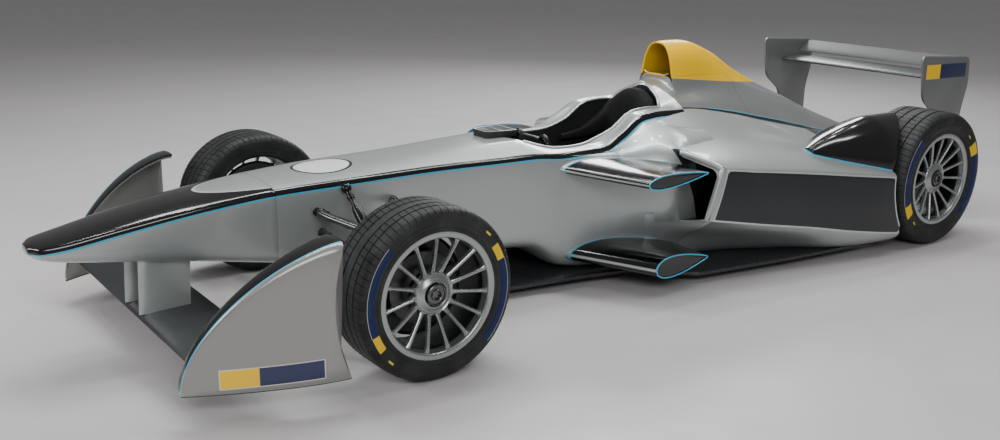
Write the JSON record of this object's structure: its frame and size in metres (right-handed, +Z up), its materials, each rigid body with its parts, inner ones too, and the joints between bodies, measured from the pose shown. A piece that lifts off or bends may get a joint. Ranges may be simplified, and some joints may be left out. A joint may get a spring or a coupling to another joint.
{
  "type": "open wheel racing car",
  "caption": "Single seat electric racing car with open wheels, broad front endplates, side pods, flank winglets and a rear wing; its wheels steer and roll.",
  "frame": {"origin": "on the ground, under the middle of the car's overall box", "axes": "+X towards the nose, +Y towards the car's left, +Z up"},
  "size_m": [5, 1.8, 1.05],
  "materials": {
    "silver_paint": "metallic silver lacquer",
    "yellow_paint": "yellow lacquer",
    "black_gloss": "gloss black lacquer",
    "carbon": "satin carbon fibre",
    "padding": "matt black padding",
    "wheel_metal": "satin grey alloy",
    "dark_metal": "dark satin metal",
    "disc_metal": "machined dark metal",
    "rubber": "matt black rubber",
    "casing": "cast grey metal"
  },
  "bodies": {
    "chassis": {"monocoque": "silver_paint", "nose_cone": "silver_paint", "engine_cover": "silver_paint", "airbox": "yellow_paint", "floor": "carbon", "battery_case": "casing", "gearbox": "casing", "headrest": "padding", "seat": "carbon", "dashboard": "carbon", "front_wing": "carbon", "rear_wing_main": "casing", "rear_wing_flap": "casing", "rear_wing_beam": "carbon", "sidepod_left": "silver_paint", "sidepod_right": "silver_paint", "wheel_fairing_left": "black_gloss", "wheel_fairing_right": "black_gloss", "upper_winglet_left": "black_gloss", "upper_winglet_right": "black_gloss", "lower_winglet_left": "black_gloss", "lower_winglet_right": "black_gloss", "front_endplate_left": "silver_paint", "front_endplate_right": "silver_paint", "rear_endplate_left": "silver_paint", "rear_endplate_right": "silver_paint", "front_upper_wishbone_left": "dark_metal", "front_upper_wishbone_right": "dark_metal", "front_lower_wishbone_left": "dark_metal", "front_lower_wishbone_right": "dark_metal", "rear_suspension_left": "dark_metal", "rear_suspension_right": "dark_metal"},
    "knuckle_left": {"front_knuckle_left": "dark_metal"},
    "wheel_front_left": {"front_tyre_left": "rubber", "front_rim_left": "wheel_metal", "front_hub_left": "disc_metal"},
    "wheel_rear_left": {"rear_tyre_left": "rubber", "rear_rim_left": "wheel_metal", "rear_hub_left": "disc_metal"},
    "knuckle_right": {"front_knuckle_right": "dark_metal"},
    "wheel_front_right": {"front_tyre_right": "rubber", "front_rim_right": "wheel_metal", "front_hub_right": "disc_metal"},
    "wheel_rear_right": {"rear_tyre_right": "rubber", "rear_rim_right": "wheel_metal", "rear_hub_right": "disc_metal"},
    "steering_rack": {"steering_rack": "dark_metal"},
    "steering_wheel": {"steering_wheel": "carbon"}
  },
  "joints": [
    {"name": "left_steer", "type": "hinge", "parent": "chassis", "child": "knuckle_left", "pos_m": [1.32, 0.7, 0.3265], "axis": [0, 0, 1], "range_deg": [-18, 18]},
    {"name": "right_steer", "type": "hinge", "parent": "chassis", "child": "knuckle_right", "pos_m": [1.32, -0.7, 0.3265], "axis": [0, 0, 1], "range_deg": [-18, 18]},
    {"name": "rack_slide", "type": "slide", "parent": "chassis", "child": "steering_rack", "axis": [0, 1, 0], "range_m": [-0.038, 0.038]},
    {"name": "column_turn", "type": "hinge", "parent": "chassis", "child": "steering_wheel", "pos_m": [0.235, 0, 0.6], "axis": [1, 0, 0], "range_deg": [-162, 162]},
    {"name": "front_left_spin", "type": "hinge", "parent": "knuckle_left", "child": "wheel_front_left", "pos_m": [1.32, 0.7775, 0.3265], "axis": [0, 1, 0], "continuous": true},
    {"name": "rear_left_spin", "type": "hinge", "parent": "chassis", "child": "wheel_rear_left", "pos_m": [-1.78, 0.7475, 0.3505], "axis": [0, 1, 0], "continuous": true},
    {"name": "front_right_spin", "type": "hinge", "parent": "knuckle_right", "child": "wheel_front_right", "pos_m": [1.32, -0.7775, 0.3265], "axis": [0, 1, 0], "continuous": true},
    {"name": "rear_right_spin", "type": "hinge", "parent": "chassis", "child": "wheel_rear_right", "pos_m": [-1.78, -0.7475, 0.3505], "axis": [0, 1, 0], "continuous": true}
  ],
  "couplings": [
    {"joint": "right_steer", "follows": "left_steer", "ratio": 1},
    {"joint": "rack_slide", "follows": "left_steer", "m_per_rad": 0.12},
    {"joint": "column_turn", "follows": "left_steer", "ratio": -9}
  ]
}
